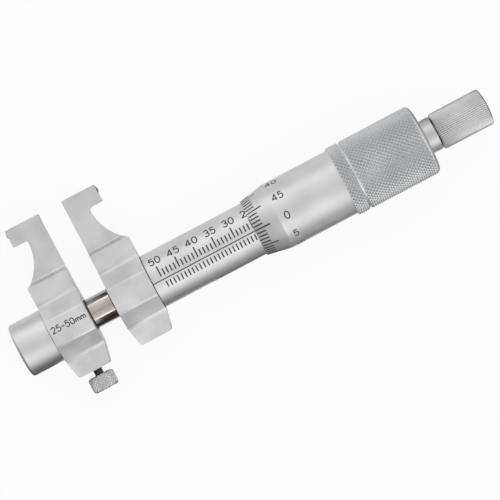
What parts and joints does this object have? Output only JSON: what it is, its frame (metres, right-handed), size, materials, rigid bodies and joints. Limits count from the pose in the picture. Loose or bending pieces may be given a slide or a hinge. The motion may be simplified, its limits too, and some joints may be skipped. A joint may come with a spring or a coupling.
{
  "type": "inside micrometer",
  "caption": "Inside micrometer with two caliper jaws on a sliding guide tube, a graduated sleeve and thimble, a fluted ratchet stop and a knurled clamp screw, for measuring bores and slots.",
  "frame": {"origin": "on the spindle axis, where the graduated sleeve meets the fixed jaw", "axes": "+X along the spindle towards the ratchet, +Y up the jaw arms towards the measuring tips, +Z out of the jaws' front face, so that the instrument lies on its back"},
  "size_m": [0.1281, 0.0452, 0.0182],
  "materials": {
    "satin_chrome": "matt satin chrome plate on steel",
    "polished_steel": "ground and polished hard steel",
    "plain_steel": "machined steel",
    "dark_steel": "blackened steel",
    "carbide": "ground carbide",
    "bronze": "bearing bronze"
  },
  "bodies": {
    "frame": {"fixed_jaw": "satin_chrome", "fixed_tip": "carbide", "sleeve": "satin_chrome", "inner_sleeve": "plain_steel", "adjusting_nut": "plain_steel", "guide_key": "plain_steel", "key_screw": "dark_steel"},
    "jaw_carriage": {"moving_jaw": "satin_chrome", "moving_tip": "carbide", "guide_tube": "polished_steel", "end_cap": "satin_chrome", "front_thrust_washer": "bronze"},
    "spindle": {"spindle": "polished_steel", "spindle_nut": "plain_steel", "rear_thrust_washer": "bronze", "thimble": "satin_chrome", "ratchet_shank": "satin_chrome", "ratchet_spring": "plain_steel", "ratchet_wheel": "plain_steel"},
    "ratchet": {"ratchet_knob": "satin_chrome", "retaining_ring": "plain_steel"},
    "clamp_plug": {"clamp_plug": "bronze"},
    "clamp_screw": {"clamp_screw": "satin_chrome"}
  },
  "joints": [
    {"name": "jaw_slide", "type": "slide", "parent": "frame", "child": "jaw_carriage", "axis": [-1, 0, 0], "range_m": [0, 0.025]},
    {"name": "thimble_turn", "type": "hinge", "parent": "jaw_carriage", "child": "spindle", "pos_m": [0, 0, 0], "axis": [-1, 0, 0], "range_deg": [0, 18000]},
    {"name": "ratchet_turn", "type": "hinge", "parent": "spindle", "child": "ratchet", "pos_m": [0.08, 0, 0], "axis": [-1, 0, 0], "continuous": true},
    {"name": "clamp_slide", "type": "slide", "parent": "jaw_carriage", "child": "clamp_plug", "axis": [0, 1, 0], "range_m": [-0.00045, 0.0003]},
    {"name": "clamp_turn", "type": "hinge", "parent": "clamp_plug", "child": "clamp_screw", "pos_m": [-0.0217, -0.0157, 0], "axis": [0, 1, 0], "range_deg": [-360, 240]}
  ],
  "couplings": [
    {"joint": "thimble_turn", "follows": "jaw_slide", "rad_per_m": 12566},
    {"joint": "clamp_turn", "follows": "clamp_slide", "rad_per_m": 13963}
  ]
}
